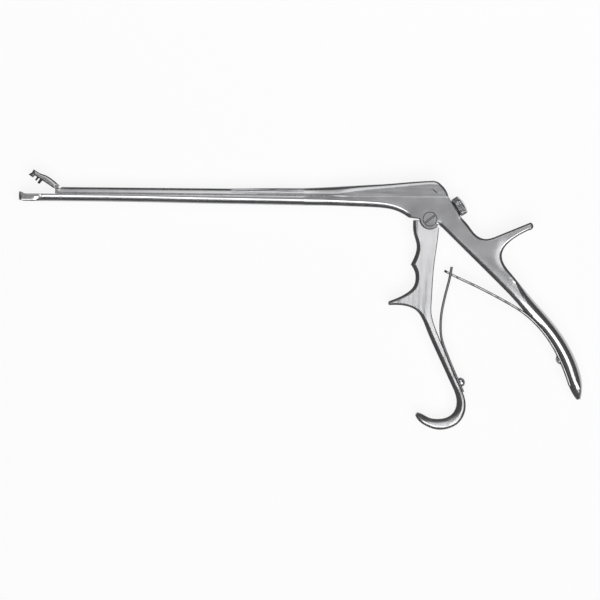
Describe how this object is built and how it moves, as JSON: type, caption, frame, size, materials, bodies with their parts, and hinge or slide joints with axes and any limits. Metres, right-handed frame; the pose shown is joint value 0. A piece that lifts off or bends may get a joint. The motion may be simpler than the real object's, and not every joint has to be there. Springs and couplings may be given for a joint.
{
  "type": "biopsy punch forceps",
  "caption": "Pistol-grip biopsy punch forceps: a trigger slides the top bar, which swings a hinged upper jaw shut into a cutting cup.",
  "frame": {"origin": "on the side face that the tool rests on, on the axis of the trigger's pivot screw", "axes": "+X back along the shaft from the jaws to the grip, +Y from the handles up to the sliding bar, +Z through the thickness, up from the surface the tool lies on"},
  "size_m": [0.3389, 0.1538, 0.012],
  "materials": {
    "steel_satin": "satin",
    "steel_bright": "fine satin",
    "steel_polished": "polished",
    "spring_dark": "dark tempered"
  },
  "bodies": {
    "frame": {"handle_frame": "steel_satin", "lower_shaft": "steel_satin", "jaw_pivot_pin": "steel_bright", "pivot_screw": "steel_satin", "rear_spring": "steel_bright", "rear_spring_screw": "steel_polished"},
    "slide": {"slide_bar": "steel_satin", "jaw_drive_pin": "steel_bright", "drive_screw": "steel_satin", "guide_studs": "steel_satin"},
    "jaw": {"upper_jaw": "steel_bright"},
    "trigger": {"trigger": "steel_bright", "front_spring": "spring_dark", "front_spring_screw": "steel_polished"},
    "thumb_screw": {"thumb_screw": "steel_polished"}
  },
  "joints": [
    {"name": "trigger_hinge", "type": "hinge", "parent": "frame", "child": "trigger", "pos_m": [0, 0, 0.006], "axis": [0, 0, 1], "range_deg": [0, 9.47], "stiffness_Nm_per_rad": 3, "springref_deg": -8.59, "deforming": ["front_spring", "rear_spring"]},
    {"name": "slide_travel", "type": "slide", "parent": "frame", "child": "slide", "axis": [-1, 0, 0], "range_m": [0, 0.0028]},
    {"name": "jaw_hinge", "type": "hinge", "parent": "frame", "child": "jaw", "pos_m": [-0.2213, 0.0111, 0.006], "axis": [0, 0, 1], "range_deg": [0, 33.4]},
    {"name": "thumb_screw_turn", "type": "hinge", "parent": "frame", "child": "thumb_screw", "pos_m": [0.01535, 0.00648, 0.006], "axis": [0.8453, 0.5344, 0], "range_deg": [-540, 90]}
  ],
  "couplings": [
    {"joint": "slide_travel", "follows": "trigger_hinge", "m_per_rad": 0.01694},
    {"joint": "jaw_hinge", "follows": "trigger_hinge", "ratio": 3.5269}
  ]
}
